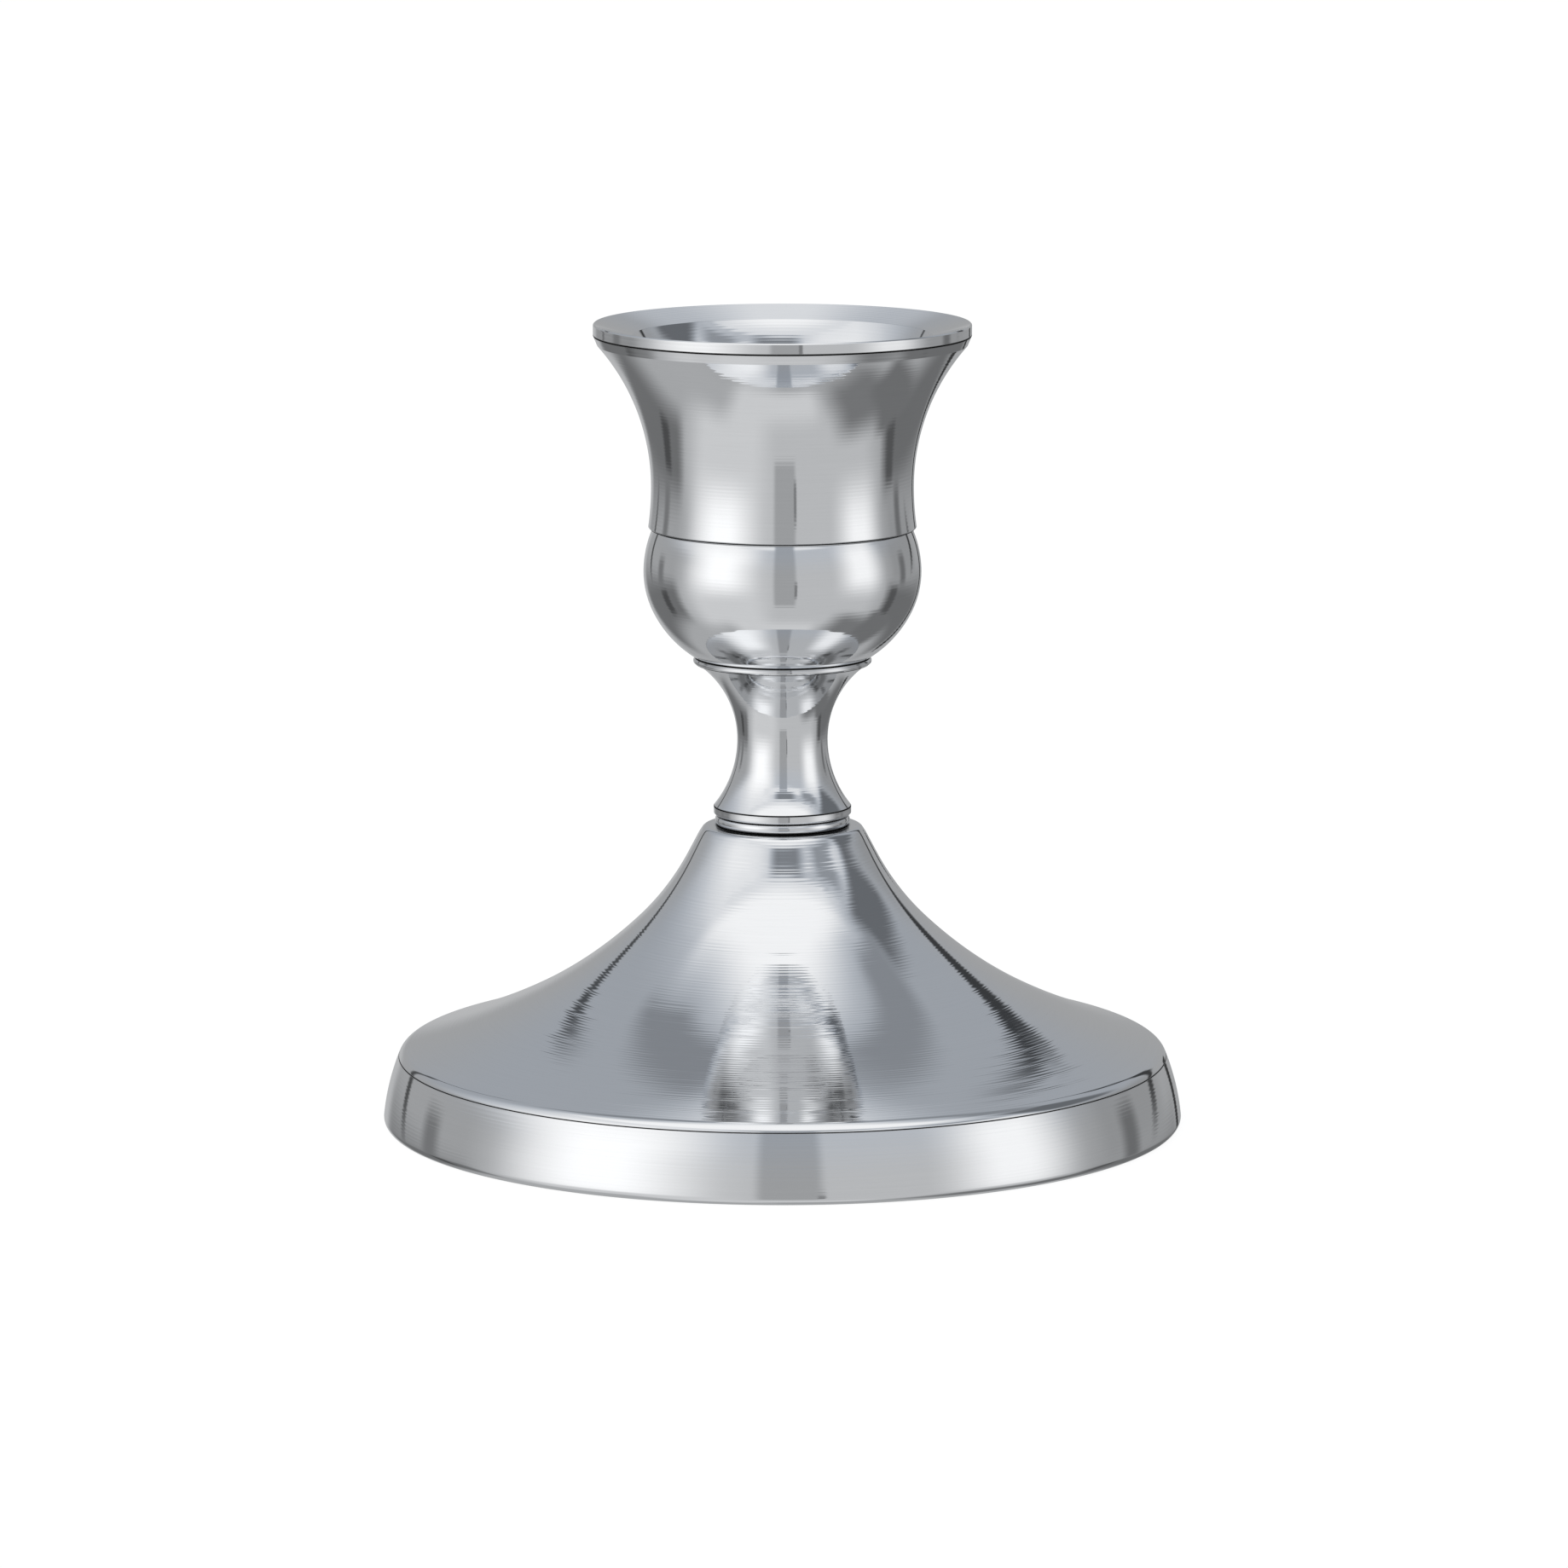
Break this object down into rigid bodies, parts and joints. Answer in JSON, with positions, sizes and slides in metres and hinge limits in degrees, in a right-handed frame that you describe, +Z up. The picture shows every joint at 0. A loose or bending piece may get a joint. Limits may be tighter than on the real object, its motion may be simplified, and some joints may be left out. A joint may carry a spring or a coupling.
{
  "type": "candlestick",
  "caption": "Short turned metal candlestick: flared cup with a socket for a dinner candle, round bulb, waisted stem and wide spun base. The column screws onto the base.",
  "frame": {"origin": "centre of the base on the surface that it stands on", "axes": "+Z up along the axis on which every piece is turned; X and Y are level and alike"},
  "size_m": [0.0776, 0.0776, 0.0778],
  "materials": {
    "turned_aluminium": "turned and polished, with fine rings",
    "spun_aluminium": "spun and polished, with fine rings",
    "zinc_steel": "bright zinc plated",
    "plate_steel": "plain sheet",
    "baize": "short-napped black baize"
  },
  "bodies": {
    "base": {"base_shell": "spun_aluminium", "base_plate": "plate_steel", "base_pad": "baize", "base_washer": "zinc_steel", "lock_washer": "zinc_steel", "base_screw": "zinc_steel"},
    "ring": {"neck_ring": "turned_aluminium"},
    "column": {"stem": "turned_aluminium", "bulb": "turned_aluminium", "candle_cup": "turned_aluminium", "cup_screw": "zinc_steel"}
  },
  "joints": [
    {"name": "column_lift", "type": "slide", "parent": "base", "child": "ring", "axis": [0, 0, 1], "range_m": [0, 0.008]},
    {"name": "column_turn", "type": "hinge", "parent": "ring", "child": "column", "pos_m": [0, 0, 0.0302], "axis": [0, 0, 1], "range_deg": [0, 3600]}
  ],
  "couplings": [
    {"joint": "column_lift", "follows": "column_turn", "m_per_rad": 0.00012732}
  ]
}
